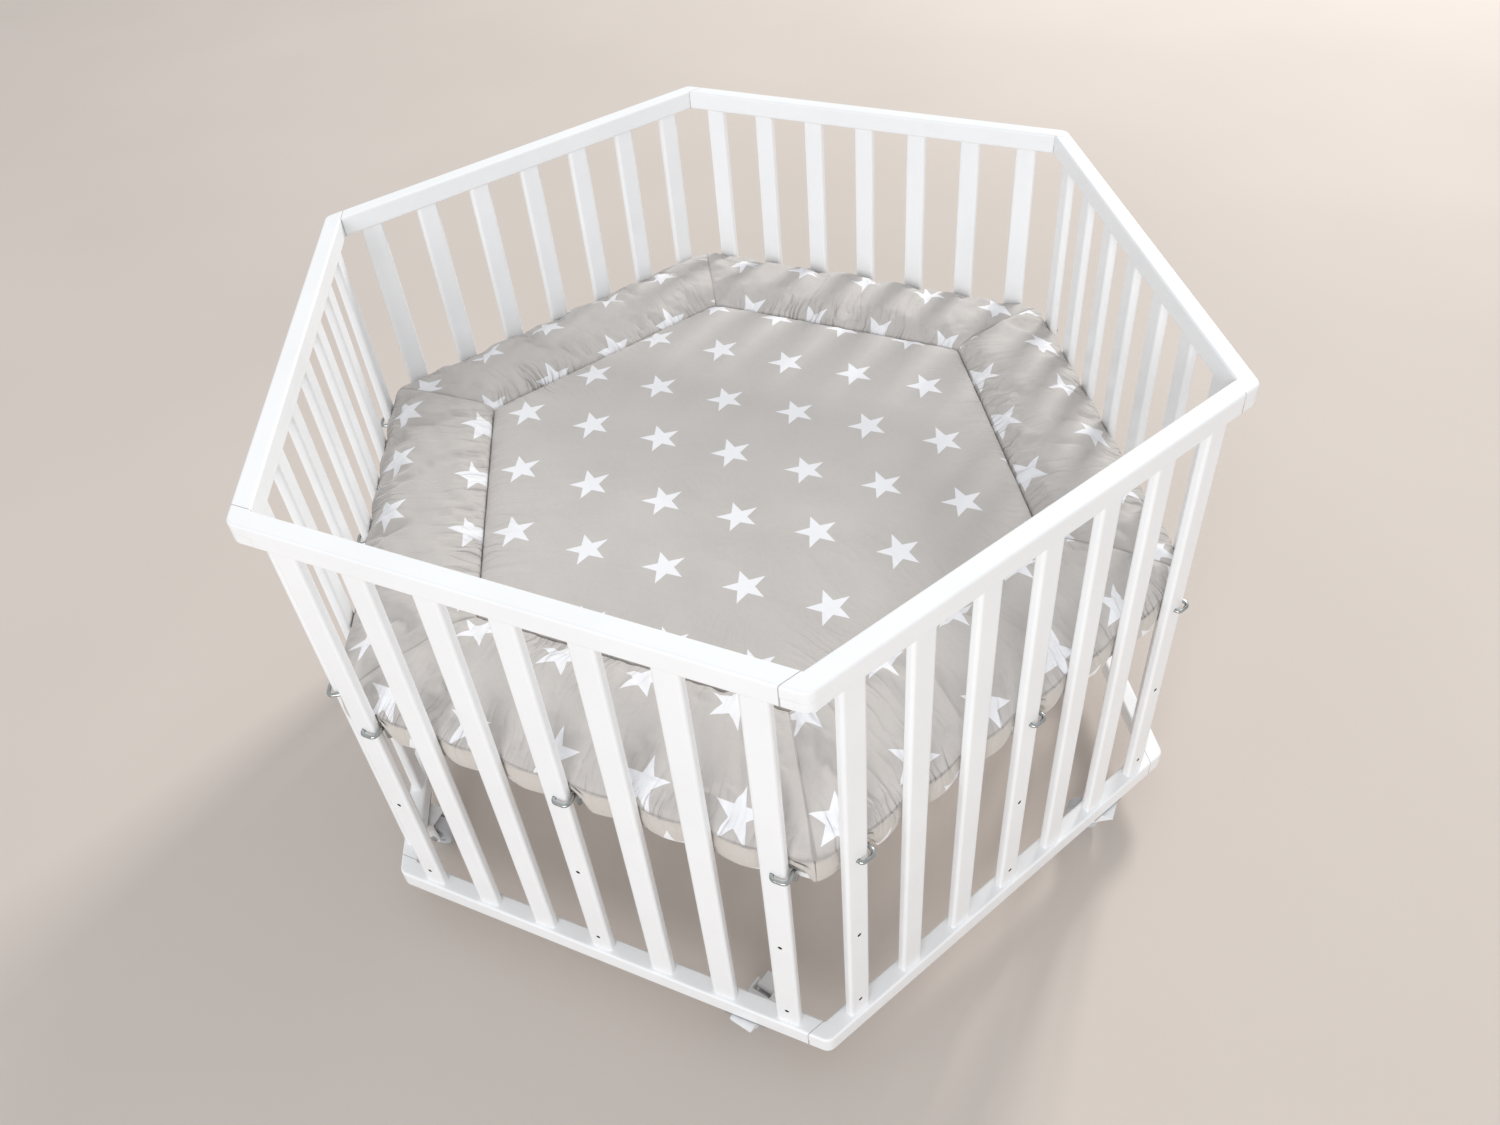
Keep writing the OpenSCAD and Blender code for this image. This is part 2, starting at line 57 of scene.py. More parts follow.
PAD_Z0, PAD_Z1 = PAD_LO.z, PAD_HI.z
SLATS = 7
# the slats with hooks, counted from a panel's middle one
HOOK_SLATS = (-3, 0, 3)
SLAT_W = 0.029
SLAT_PITCH = (SLAT_HI.y - SLAT_LO.y - SLAT_W) / (SLATS - 1)
WIRE = 0.0045
HOOK_Z = HOOK_HI.z - WIRE / 2
HOOK_DY = SLAT_W / 2 + WIRE / 2 + 0.002
TAN30 = math.tan(math.radians(30))

# the insert's seams: apothem of the middle hexagon and of the outer seam
SEAM_IN = 0.3445
SEAM_OUT = SLAT_IN - 0.0012


def linear(colour):
    """sRGB shares, 0 to 1, as linear light."""
    return tuple(v / 12.92 if v <= 0.04045 else ((v + 0.055) / 1.055) ** 2.4 for v in colour)


def rgb(r, g, b):
    return (*linear((r / 255, g / 255, b / 255)), 1)


# ---------------------------------------------------------------- material helpers
class Shader:
    """A node tree with short helpers for values, maths and textures."""

    def __init__(self, name):
        self.mat = bpy.data.materials.new(name)
        self.mat.use_nodes = True
        self.tree = self.mat.node_tree
        self.bsdf = self.tree.nodes["Principled BSDF"]

    def node(self, kind, **settings):
        n = self.tree.nodes.new(kind)
        for k, v in settings.items():
            setattr(n, k, v)
        return n

    def put(self, socket, value):
        if isinstance(value, bpy.types.NodeSocket):
            self.tree.links.new(value, socket)
        else:
            socket.default_value = value

    def math(self, op, a, b=0.0):
        n = self.node("ShaderNodeMath", operation=op)
        self.put(n.inputs[0], a)
        self.put(n.inputs[1], b)
        return n.outputs[0]

    def coords(self, scale=(1, 1, 1)):
        source = self.node("ShaderNodeTexCoord")
        mapping = self.node("ShaderNodeMapping")
        self.put(mapping.inputs["Scale"], scale)
        self.put(mapping.inputs["Vector"], source.outputs["Object"])
        return mapping.outputs[0]

    def noise(self, vector, scale, detail=3.0, rough=0.5):
        n = self.node("ShaderNodeTexNoise")
        self.put(n.inputs["Vector"], vector)
        self.put(n.inputs["Scale"], scale)
        self.put(n.inputs["Detail"], detail)
        self.put(n.inputs["Roughness"], rough)
        return n.outputs[0]

    def ramp(self, value, stops):
        n = self.node("ShaderNodeValToRGB")
        while len(n.color_ramp.elements) < len(stops):
            n.color_ramp.elements.new(0.5)
        for element, (position, colour) in zip(n.color_ramp.elements, stops):
            element.position = position
            element.color = (*colour[:3], 1)
        self.put(n.inputs[0], value)
        return n.outputs[0]

    def span(self, value, lo, hi, to_lo=0.0, to_hi=1.0):
        """Smooth step of value from lo..hi to to_lo..to_hi."""
        n = self.node("ShaderNodeMapRange", interpolation_type="SMOOTHSTEP")
        for s, v in zip(n.inputs, (value, lo, hi, to_lo, to_hi)):
            self.put(s, v)
        return n.outputs[0]

    def mix(self, factor, a, b):
        n = self.node("ShaderNodeMix", data_type="RGBA")
        self.put(n.inputs[0], factor)
        self.put(n.inputs[6], a)
        self.put(n.inputs[7], b)
        return n.outputs[2]

    def bump(self, height, strength, distance, normal=None):
        n = self.node("ShaderNodeBump")
        self.put(n.inputs["Strength"], strength)
        self.put(n.inputs["Distance"], distance)
        self.put(n.inputs["Height"], height)
        if normal is not None:
            self.put(n.inputs["Normal"], normal)
        return n.outputs[0]

    def set(self, **values):
        for k, v in values.items():
            self.put(self.bsdf.inputs[k.replace("_", " ")], v)
        return self.mat


def darker(colour, share):
    return (*(v * share for v in colour[:3]), 1)


def lacquer(name, colour, grain_axis, rough=0.34, lap_angle=None):
    """White lacquer over beech: faint long grain, orange peel, slight mottling and a dark lap joint."""
    s = Shader(name)
    stretch = [60.0, 60.0, 60.0]
    stretch[grain_axis] = 2.2
    grain = s.noise(s.coords(tuple(stretch)), 1.0, 6.0, 0.6)
    peel = s.noise(s.coords(), 420.0, 2.0, 0.4)
    mottle = s.noise(s.coords(), 9.0, 3.0, 0.55)
    tint = s.ramp(mottle, [(0.3, darker(colour, 0.965)), (0.7, colour)])
    base = s.mix(s.span(grain, 0.58, 0.74, 0.0, 0.10), tint, darker(colour, 0.86))
    if lap_angle is not None:
        xyz = s.node("ShaderNodeSeparateXYZ")
        s.put(xyz.inputs[0], s.coords())
        out_x = s.math("MULTIPLY", xyz.outputs[0], math.cos(lap_angle))
        out_y = s.math("MULTIPLY", xyz.outputs[1], math.sin(lap_angle))
        off = s.math("ABSOLUTE", s.math("SUBTRACT", s.math("ADD", out_x, out_y), LAP_X))
        base = s.mix(s.span(off, 0.0003, 0.0011, 0.62, 0.0), base, rgb(112, 108, 104))
    gloss = s.span(mottle, 0.2, 0.8, rough - 0.05, rough + 0.07)
    height = s.math("ADD", s.math("MULTIPLY", grain, 0.75), s.math("MULTIPLY", peel, 0.25))
    return s.set(
        Base_Color=base,
        Roughness=gloss,
        Normal=s.bump(height, 0.16, 0.0006),
        Coat_Weight=0.28,
        Coat_Roughness=0.18,
        Specular_IOR_Level=0.42,
    )


def metal(name, colour, rough, scratch=0.25):
    """Plated steel with fine drawing marks and dull patches."""
    s = Shader(name)
    lines = s.noise(s.coords((900, 900, 60)), 1.0, 4.0, 0.6)
    patches = s.noise(s.coords(), 70.0, 4.0, 0.6)
    base = s.ramp(patches, [(0.35, darker(colour, 0.8)), (0.65, colour)])
    return s.set(
        Base_Color=base,
        Metallic=1.0,
        Roughness=s.span(patches, 0.2, 0.8, rough - 0.06, rough + 0.12),
        Normal=s.bump(lines, scratch, 0.0002),
    )


def plastic(name, colour, rough):
    """Moulded plastic: fine spark texture and faint flow marks."""
    s = Shader(name)
    spark = s.noise(s.coords(), 2600.0, 2.0, 0.5)
    flow = s.noise(s.coords((20, 20, 60)), 1.0, 3.0, 0.5)
    base = s.ramp(flow, [(0.3, darker(colour, 0.93)), (0.7, colour)])
    return s.set(
        Base_Color=base,
        Roughness=s.span(flow, 0.2, 0.8, rough - 0.05, rough + 0.05),
        Normal=s.bump(spark, 0.2, 0.0002),
    )


def powder_coat(name, colour):
    """Painted steel with fine orange peel and slightly rubbed patches."""
    s = Shader(name)
    peel = s.noise(s.coords(), 900.0, 2.0, 0.5)
    wear = s.noise(s.coords(), 55.0, 4.0, 0.6)
    base = s.ramp(wear, [(0.3, darker(colour, 0.94)), (0.6, colour)])
    return s.set(
        Base_Color=base,
        Roughness=s.span(wear, 0.2, 0.8, 0.30, 0.44),
        Normal=s.bump(peel, 0.25, 0.0003),
        Coat_Weight=0.2,
        Coat_Roughness=0.2,
    )


def painted_hole_shade():
    """The walls of a drilled hole: rough, grained wood coloured dark brown as painted shade for the shadow
    inside the hole.
    """
    s = Shader("painted_hole_shade")
    grain = s.noise(s.coords((300, 300, 40)), 1.0, 4.0, 0.6)
    # painted shade: the dark browns stand in for the shadow inside the hole
    return s.set(
        Base_Color=s.ramp(grain, [(0.3, rgb(58, 50, 44)), (0.7, rgb(84, 74, 64))]),
        Roughness=0.9,
        Normal=s.bump(grain, 0.3, 0.0004),
    )


# ---------------------------------------------------------------- the insert's cloth
# a star's radius at its tips, and its notches' as a share of that; the rows, and the stars in a row
STAR_R = 0.0285
STAR_NOTCH = 0.40
ROW_PITCH = 0.1085
STAR_PITCH = 0.1055
# radians a metre: a thread every 1.2 mm
WEAVE = 5200.0


def star_mask(s, p, q):
    """1 inside a staggered grid of five-pointed stars, in print coordinates p along and q across the rows."""
    row = s.math("ROUND", s.math("DIVIDE", q, ROW_PITCH))
    up = s.math("SUBTRACT", q, s.math("MULTIPLY", row, ROW_PITCH))
    stagger = s.math("MULTIPLY", s.math("ABSOLUTE", s.math("MODULO", row, 2.0)), STAR_PITCH / 2)
    in_row = s.math("SUBTRACT", p, stagger)
    star = s.math("ROUND", s.math("DIVIDE", in_row, STAR_PITCH))
    over = s.math("SUBTRACT", in_row, s.math("MULTIPLY", star, STAR_PITCH))
    angle = s.math("ARCTAN2", over, up)
    radius = s.math("SQRT", s.math("ADD", s.math("MULTIPLY", over, over), s.math("MULTIPLY", up, up)))
    fold = math.radians(72)
    tip = s.math("MULTIPLY", s.math("ROUND", s.math("DIVIDE", angle, fold)), fold)
    from_tip = s.math("ABSOLUTE", s.math("SUBTRACT", angle, tip))
    # the edge of a star runs from its tip to the notch 36 degrees round
    along = s.math("MULTIPLY", radius, s.math("COSINE", from_tip))
    across = s.math("MULTIPLY", radius, s.math("SINE", from_tip))
    notch = STAR_NOTCH * STAR_R
    edge_along = notch * math.cos(math.radians(36)) - STAR_R
    edge_across = notch * math.sin(math.radians(36))
    length = math.hypot(edge_along, edge_across)
    side = s.math(
        "ADD",
        s.math("MULTIPLY", s.math("SUBTRACT", along, STAR_R), -edge_across / length),
        s.math("MULTIPLY", across, edge_along / length),
    )
    return s.span(side, -0.0002, 0.0002)


def gather_height(s):
    """Thin valleys running away from a seam, from the attribute that holds (along, away, amount)."""
    at = s.node("ShaderNodeAttribute", attribute_name="fold")
    xyz = s.node("ShaderNodeSeparateXYZ")
    s.tree.links.new(at.outputs["Vector"], xyz.inputs[0])
    along, away, amount = xyz.outputs
    bend = s.math("MULTIPLY", s.noise(s.coords(), 9.0, 2.0, 0.5), 0.055)
    total = None
    for pitch, width, reach, seed in ((70.0, 0.050, 0.034, 3.0), (34.0, 0.036, 0.062, 11.0)):
        where = s.node("ShaderNodeCombineXYZ")
        s.put(where.inputs[0], s.math("MULTIPLY", s.math("ADD", along, bend), pitch))
        s.put(where.inputs[1], s.math("MULTIPLY", away, pitch * 0.16))
        s.put(where.inputs[2], seed)
        line = s.math("DIVIDE", s.math("SUBTRACT", s.noise(where.outputs[0], 1.0, 1.0, 0.4), 0.5), width)
        valley = s.math("DIVIDE", -1.0, s.math("ADD", s.math("MULTIPLY", line, line), 1.0))
        fade = s.math("EXPONENT", s.math("DIVIDE", away, -reach))
        part = s.math("MULTIPLY", valley, fade)
        total = part if total is None else s.math("ADD", total, part)
    patchy = s.span(s.noise(s.coords(), 7.0, 2.0, 0.5), 0.38, 0.62, 0.35, 1.0)
    return s.math("MULTIPLY", s.math("MULTIPLY", total, amount), patchy)


def insert_cloth():
    """Printed cotton: weave, slubs, star print, painted shade along the seams and gathers beside them."""
    s = Shader("insert_cloth")
    print_at = s.node("ShaderNodeAttribute", attribute_name="print")
    xyz = s.node("ShaderNodeSeparateXYZ")
    s.tree.links.new(print_at.outputs["Vector"], xyz.inputs[0])
    p, q, under = xyz.outputs
    star = star_mask(s, p, q)
    threads = s.math("MULTIPLY", s.math("SINE", s.math("MULTIPLY", p, WEAVE)), 0.5)
    wefts = s.math("MULTIPLY", s.math("SINE", s.math("MULTIPLY", q, WEAVE)), 0.5)
    slub = s.noise(s.coords(), 240.0, 3.0, 0.6)
    cloud = s.noise(s.coords(), 6.0, 2.0, 0.5)
    top = s.ramp(cloud, [(0.3, rgb(193, 188, 184)), (0.7, rgb(199, 194, 190))])
    ground = s.mix(under, top, rgb(204, 198, 191))
    ground = s.mix(s.span(slub, 0.35, 0.75, 0.0, 0.10), ground, rgb(172, 168, 163))
    base = s.mix(star, ground, rgb(240, 240, 243))
    # painted shade: the cloth is darkened along the seams for the shadow in their creases
    seam = s.node("ShaderNodeAttribute", attribute_name="seam_shade")
    base = s.mix(s.math("MULTIPLY", seam.outputs["Fac"], 0.42), base, rgb(128, 123, 119))
    weave = s.math("ADD", s.math("MULTIPLY", threads, wefts), s.math("MULTIPLY", slub, 1.2))
    soft = s.bump(s.noise(s.coords(), 21.0, 3.0, 0.5), 0.30, 0.010)
    folds = s.bump(gather_height(s), 1.0, 0.0034, soft)
    return s.set(
        Base_Color=base,
        Roughness=0.86,
        Normal=s.bump(weave, 0.22, 0.0004, folds),
        Sheen_Weight=0.25,
        Sheen_Roughness=0.5,
        Specular_IOR_Level=0.25,
    )


# ---------------------------------------------------------------- the insert's shape
# the print on each panel's section: a star's place along and out, and which way its tips point
PRINT = {
    0: (0.011, 0.356, -1),
    1: (0.033, 0.343, -1),
    2: (-0.010, 0.343, 1),
    3: (0.062, 0.357, 1),
    4: (0.039, 0.371, -1),
    5: (0.018, 0.370, 1),
}
# the print on the middle section: a star's place, and the turn of its rows
CENTRE_STAR = (-0.015, 0.020)
CENTRE_TURN = math.radians(151.7)

# the edge: its rounding at the corners, the top's drop to it, and the band's hang over the boards' edge
CORNER_R = 0.070
EDGE_DROP = 0.010
EDGE_HANG = 0.012
SEAM_Z = PAD_Z1 - 0.0012
GAP = SLAT_PITCH - SLAT_W

# columns of vertices a panel, and steps of the side band between two points of its profile
PANEL_COLUMNS = 114
BAND_STEPS = 3

# grid of the border's cloth simulation, its frames, and how far it may move a point
CLOTH_RINGS = 24
CLOTH_COLUMNS = 46
CLOTH_FRAMES = 16
CLOTH_ROOM = 0.008


def wobble(x, y, z, scale):
    """Smooth noise about zero, with features of about the size `scale`."""
    return noise.noise(Vector((x / scale, y / scale, z / scale)))


def turned(x, y, panel):
    """The point x out and y along in a panel's frame, in the part's frame; panel 0 faces +X."""
    a = math.radians(60 * panel)
    return x * math.cos(a) - y * math.sin(a), x * math.sin(a) + y * math.cos(a)


def outline(apothem, f, corner):
    """Point of a hexagon with rounded corners, at f from a panel's middle (0) to its ends (-1 and 1)."""
    phi = math.atan(f * TAN30)
    straight = (apothem - corner) * TAN30
    y = apothem * math.tan(phi)
    if abs(y) <= straight or corner <= 0:
        return apothem, y
    # where the ray from the middle leaves the corner's circle
    centre_x, centre_y = apothem - corner, math.copysign(straight, f)
    dx, dy = math.cos(phi), math.sin(phi)
    b = dx * centre_x + dy * centre_y
    c = centre_x * centre_x + centre_y * centre_y - corner * corner
    t = b + math.sqrt(max(b * b - c, 0.0))
    return t * dx, t * dy


def gap_phase(y):
    """0 behind a slat, rising to 1 in the middle of the space between two slats or at a corner."""
    clear = 0.0014
    slat = max(-3, min(3, round(y / SLAT_PITCH)))
    d = abs(y - slat * SLAT_PITCH) - SLAT_W / 2 - clear
    if d <= 0:
        return 0.0
    past_last_slat = abs(y) > 3 * SLAT_PITCH
    half = 0.026 if past_last_slat else GAP / 2 - clear
    return math.sin(min(d / half, 1.0) * math.pi / 2) ** 0.6


def hook_lift(y):
    """1 where a hook's wire passes under the cloth's edge."""
    best = 0.0
    for slat in HOOK_SLATS:
        d = abs(y - (slat * SLAT_PITCH + HOOK_DY))
        best = max(best, 1 - max(0.0, min((d - 0.006) / 0.010, 1.0)))
    return best * best * (3 - 2 * best)


def swell(d, width, power=0.55):
    """0 on a seam, 1 well away from it."""
    return math.tanh(max(d, 0.0) / width) ** power


def gathers(along, away, seed, reach, pitch=0.013):
    """Soft folds running away from a seam."""
    fade = math.exp(-away / reach) * min(away / 0.004, 1.0)
    if fade < 0.01:
        return 0.0
    lean = 0.5 * math.sin(along * 9.0 + seed)
    height = wobble(along + lean * away, away * 0.10, seed, pitch)
    height += 0.7 * wobble(along - 0.5 * lean * away, away * 0.12, seed + 7.7, pitch * 2.1)
    amount = 0.5 + 1.1 * max(0.0, wobble(along, seed, 3.3, 0.09) + 0.25)
    return fade * height * amount


def top_height(rho, x, y, panel):
    """Height over the seams' level, of the point x out and y along on the ring of apothem rho."""
    gx, gy = turned(x, y, panel)
    slow = 0.0046 * wobble(gx, gy, 1.7, 0.15) + 0.0030 * wobble(gx, gy, 9.1, 0.062)
    across = abs(y) * math.cos(math.radians(30))
    if rho <= SEAM_IN:
        d = SEAM_IN - x
        other = SEAM_IN - (x * 0.5 + across)
        h = 0.0110 * swell(d, 0.020) * swell(other, 0.020)
        h += 0.0030 * math.cos(min(rho / SEAM_IN, 1.0) * math.pi / 2)
        h += 0.0024 * gathers(y, d, panel * 3.1, 0.016)
        return h + slow * swell(d, 0.06, 1.0)
    d_in = x - SEAM_IN
    d_out = SEAM_OUT - x
    d_mitre = abs(across - x * 0.5)
    mitre = 0.66 + 0.34 * swell(d_mitre, 0.014, 0.6)
    h = 0.0165 * swell(d_in, 0.021) * swell(d_out + 0.0006, 0.030, 0.62) * mitre
    h -= EDGE_DROP * math.exp(-max(d_out, 0.0) / 0.030) * swell(d_in, 0.03, 1.0)
    h += 0.0046 * gathers(y, d_in, 20 + panel * 5.3, 0.034, 0.014)
    h += 0.0034 * gathers(y, d_out, 60 + panel * 4.1, 0.022)
    h += 0.0026 * gathers(x, d_mitre, 90 + panel * 2.7 + (y > 0), 0.018)
    drag = 0.0030 * wobble(gx + gy * 0.5, gy * 0.35 - gx * 0.2, 4.4, 0.028)
    return h + (slow + drag) * swell(d_in, 0.03, 1.0) * swell(d_out, 0.03, 1.0)


def fold_coords(rho, x, y, panel, f):
    """(along, away, amount) for the fine gathers of the shader."""
    calm = min((1 - abs(f)) / 0.10, 1.0)
    if rho <= SEAM_IN:
        return y + panel * 1.3, SEAM_IN - x, 0.40 * calm
    d_in, d_out = x - SEAM_IN, SEAM_OUT - x
    blend = max(0.0, min((d_out - d_in) / 0.04 + 0.5, 1.0))
    return y + panel * 1.3, min(d_in, max(d_out, 0.0)), (0.65 + 0.35 * blend) * calm


def print_coords(panel, out, y):
    """Print coordinates of a point `out` from the middle, measured over the cloth, and y along the panel."""
    if panel is None:
        dx, dy = out - CENTRE_STAR[0], y - CENTRE_STAR[1]
        cos, sin = math.cos(CENTRE_TURN), math.sin(CENTRE_TURN)
        return dx * cos + dy * sin, dy * cos - dx * sin
    star_along, star_out, sense = PRINT[panel]
    return sense * (y - star_along), sense * (out - star_out)


def side_profile(y):
    """Cross-section below the outer seam: (apothem, height) pairs, over the board's edge to the underside."""
    puff = gap_phase(y)
    lift = hook_lift(y)
    face = SLAT_IN - 0.0010 + 0.0062 * puff
    low = PAD_Z0 - EDGE_HANG - 0.0020 * puff
    low = low * (1 - lift) + (HOOK_Z + WIRE / 2 + 0.0010) * lift
    top = SEAM_Z + 0.0018 - EDGE_DROP
    mid = (top + low) / 2
    lip = BOARD_X + 0.0007
    return [
        (SEAM_OUT + 0.0034 * puff + 0.0006, top - 0.0024),
        (face - 0.0018, top - 0.0066),
        (face, mid + 0.0040),
        (face + 0.0002, mid - 0.0050),
        (face - 0.0014, low + 0.0056),
        ((face + lip) / 2 + 0.0010, low),
        (lip + 0.0004, low + 0.0012),
        (lip, max(low + 0.0040, PAD_Z0 - 0.0030)),
        (lip - 0.0040, PAD_Z0 + 0.0004 + 0.0150 * lift),
        (lip - 0.0160, PAD_Z0 + 0.0002),
    ]


def on_border(t, panel, f):
    """Point of the border's top, t of the way from the inner to the outer seam."""
    rho = SEAM_IN + t * (SEAM_OUT - SEAM_IN)
    x, y = outline(rho, f, CORNER_R * t)
    rise = top_height(rho, x, y, panel) if t > 0 else 0.0
    return (*turned(x, y, panel), SEAM_Z + rise)


def ring_faces(rings, columns):
    """Four-sided faces between closed rings of vertices."""
    faces = []
    for near in range(0, (rings - 1) * columns, columns):
        far = near + columns
        for j in range(columns):
            k = (j + 1) % columns
            faces.append((near + j, far + j, far + k, near + k))
    return faces


def cloth_shift():
    """How far cloth pressure moves the border between its held seams, on a grid of rings and columns."""
    columns = 6 * CLOTH_COLUMNS
    verts, held = [], []
    for ring in range(CLOTH_RINGS):
        for column in range(columns):
            panel, k = divmod(column, CLOTH_COLUMNS)
            if ring in (0, CLOTH_RINGS - 1) or k in (0, CLOTH_COLUMNS - 1):
                held.append(len(verts))
            verts.append(on_border(ring / (CLOTH_RINGS - 1), panel, 2 * (k + 0.5) / CLOTH_COLUMNS - 1))
    me = bpy.data.meshes.new("border_cloth")
    me.from_pydata(verts, [], ring_faces(CLOTH_RINGS, columns))
    obj = bpy.data.objects.new("border_cloth", me)
    bpy.context.scene.collection.objects.link(obj)
    obj.vertex_groups.new(name="held").add(held, 1.0, "REPLACE")
    cloth = obj.modifiers.new("cloth", "CLOTH")
    cloth.collision_settings.use_collision = False
    fabric = cloth.settings
    fabric.quality = 5
    fabric.mass = 0.2
    fabric.tension_stiffness = 8
    fabric.compression_stiffness = 8
    fabric.shear_stiffness = 3
    fabric.bending_stiffness = 0.05
    fabric.use_pressure = True
    fabric.uniform_pressure_force = 3.0
    fabric.shrink_min = -0.05
    fabric.vertex_group_mass = "held"
    fabric.effector_weights.gravity = 0
    for frame_number in range(1, CLOTH_FRAMES + 1):
        bpy.context.scene.frame_set(frame_number)
    done = obj.evaluated_get(bpy.context.evaluated_depsgraph_get()).to_mesh()
    moved = np.empty(len(verts) * 3, np.float32)
    done.vertices.foreach_get("co", moved)
    bpy.context.scene.frame_set(1)
    bpy.data.objects.remove(obj)
    shift = (moved - np.array(verts, np.float32).ravel()).reshape(CLOTH_RINGS, columns, 3)
    far = np.linalg.norm(shift, axis=2)
    t = np.linspace(0, 1, CLOTH_RINGS)[:, None]
    room = CLOTH_ROOM * np.clip((1 - t) / 0.2, 0, 1)
    return shift * np.minimum(1.0, room / np.maximum(far, 1e-9))[:, :, None]


def shift_at(shift, t, panel, f):
    """The grid's shift at a point of the border, between its four nearest grid points."""
    r = t * (CLOTH_RINGS - 1)
    k = max(0.0, min((f + 1) / 2 * CLOTH_COLUMNS - 0.5, CLOTH_COLUMNS - 1.001))
    r0, k0 = min(int(r), CLOTH_RINGS - 2), int(k)
    u, w = r - r0, k - k0
    c0 = panel * CLOTH_COLUMNS + k0
    low = shift[r0, c0] * (1 - w) + shift[r0, c0 + 1] * w
    high = shift[r0 + 1, c0] * (1 - w) + shift[r0 + 1, c0 + 1] * w
    return low * (1 - u) + high * u


def column_fractions():
    """Where the columns of vertices stand along a panel, from -1 to 1; three at each end hug the mitre."""
    ends = [0.0022, 0.0085, 0.018]
    even = [-1 + 2 * (j + 0.5) / PANEL_COLUMNS for j in range(2, PANEL_COLUMNS - 2)]
    return [e - 1 for e in ends] + even + [1 - e for e in reversed(ends)]


def top_rings():
    """(apothem, kind) of the rings of vertices over the top, closer together beside the seams."""
    middle = np.concatenate([
        np.linspace(0.004, SEAM_IN - 0.036, 30),
        np.linspace(SEAM_IN - 0.0325, SEAM_IN - 0.0016, 16),
    ])
    border = np.concatenate([
        np.linspace(SEAM_IN + 0.0016, SEAM_IN + 0.040, 20),
        np.linspace(SEAM_IN + 0.0435, SEAM_OUT - 0.034, 20),
        np.linspace(SEAM_OUT - 0.031, SEAM_OUT - 0.0012, 16),
    ])
    rings = [(float(rho), "middle") for rho in middle]
    rings += [(SEAM_IN - 0.0006, "seam"), (SEAM_IN + 0.0006, "seam")]
    rings += [(float(rho), "border") for rho in border]
    return rings + [(SEAM_OUT, "edge")]


def top_point(rho, kind, panel, f, shift):
    """A vertex of the top: (place, print coordinates, painted seam shade, gather coordinates)."""
    t = max(0.0, min((rho - SEAM_IN) / (SEAM_OUT - SEAM_IN), 1.0))
    x, y = outline(rho, f, CORNER_R * t)
    flat = turned(x, y, panel)
    move = (0, 0, 0)
    # painted shade: 1 darkens the cloth's colour on the seam rings
    seam_shade = 0.0 if kind in ("middle", "border") else 1.0
    if kind == "edge":
        x += 0.0030 * gap_phase(y)
        z = SEAM_Z + 0.0018 - EDGE_DROP + 0.0016 * wobble(*flat, 5.0, 0.03)
    elif kind == "seam":
        z = SEAM_Z - 0.0016
    else:
        z = SEAM_Z + top_height(rho, x, y, panel)
    if kind == "border":
        x += 0.0030 * gap_phase(y) * max(0.0, 1 - (SEAM_OUT - rho) / 0.03)
        move = shift_at(shift, t, panel, f)
        # painted shade also along the mitre lines
        seam_shade = 1.0 if 1 - abs(f) < 0.005 else 0.0
    p, q = print_coords(None, *flat) if rho < SEAM_IN else print_coords(panel, x, y)
    gx, gy = turned(x, y, panel)
    place = (gx + move[0], gy + move[1], z + move[2])
    return place, (p, q, 0.0), seam_shade, fold_coords(rho, x, y, panel, f)


def band_point(step, panel, f):
    """A vertex of the side band, the given number of small steps down its profile."""
    profile = side_profile(outline(SEAM_OUT, f, CORNER_R)[1])
    i, w = divmod(step, BAND_STEPS)
    w /= BAND_STEPS
    near, far = profile[i], profile[min(i + 1, len(profile) - 1)]
    rho = near[0] * (1 - w) + far[0] * w
    z = near[1] * (1 - w) + far[1] * w
    x, y = outline(rho, f, CORNER_R)
    depth = PAD_Z1 - z
    x += 0.0022 * gathers(y, depth, 140 + panel * 3.3, 0.014) * gap_phase(y)
    over = SEAM_OUT + depth + max(0.0, SEAM_OUT - rho)
    p, q = print_coords(panel, over + 0.038, y + 0.017)
    return (*turned(x, y, panel), z), (p, q, 1.0), 0.0, (y + panel * 1.3, max(depth, 0.0), 0.30)


def under_point(rho, panel, f):
    """A vertex of the underside, which lies on the boards."""
    x, y = outline(rho, f, CORNER_R * rho / SEAM_OUT)
    p, q = print_coords(panel, SEAM_OUT + 0.08 + SEAM_OUT - rho, y)
    return (*turned(x, y, panel), PAD_Z0 + 0.0002), (p, q, 1.0), 0.0, (0.0, 1.0, 0.0)


def build_insert():
    shift = cloth_shift()
    columns = [(panel, f) for panel in range(6) for f in column_fractions()]
    band = range(1, (len(side_profile(0.0)) - 1) * BAND_STEPS + 1)
    points = [top_point(rho, kind, *column, shift) for rho, kind in top_rings() for column in columns]
    points += [band_point(step, *column) for step in band for column in columns]
    points += [under_point(rho, *column) for rho in (0.46, 0.34, 0.2, 0.08, 0.004) for column in columns]
    places, prints, seam_shades, folds = zip(*points)
    faces = ring_faces(len(places) // len(columns), len(columns))
    faces.append(tuple(range(len(columns))))
    faces.append(tuple(reversed(range(len(places) - len(columns), len(places)))))
    me = bpy.data.meshes.new("insert")
    me.from_pydata(places, [], faces)
    for name, values in (("print", prints), ("fold", folds)):
        attribute = me.attributes.new(name, "FLOAT_VECTOR", "POINT")
        attribute.data.foreach_set("vector", np.array(values, np.float32).ravel())
    # the painted shade along the seams, read by the cloth's shader
    attribute = me.attributes.new("seam_shade", "FLOAT", "POINT")
    attribute.data.foreach_set("value", np.array(seam_shades, np.float32))
    me.update()
    obj = bpy.data.objects.new("insert", me)
    bpy.context.scene.collection.objects.link(obj)
    for face in me.polygons:
        face.use_smooth = True
    return obj


insert = build_insert()
insert.data.materials.append(insert_cloth())
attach(insert, "floor")
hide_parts("insert_pad")

# ---------------------------------------------------------------- materials of the carried-over nodes
WHITE = rgb(248, 249, 250)
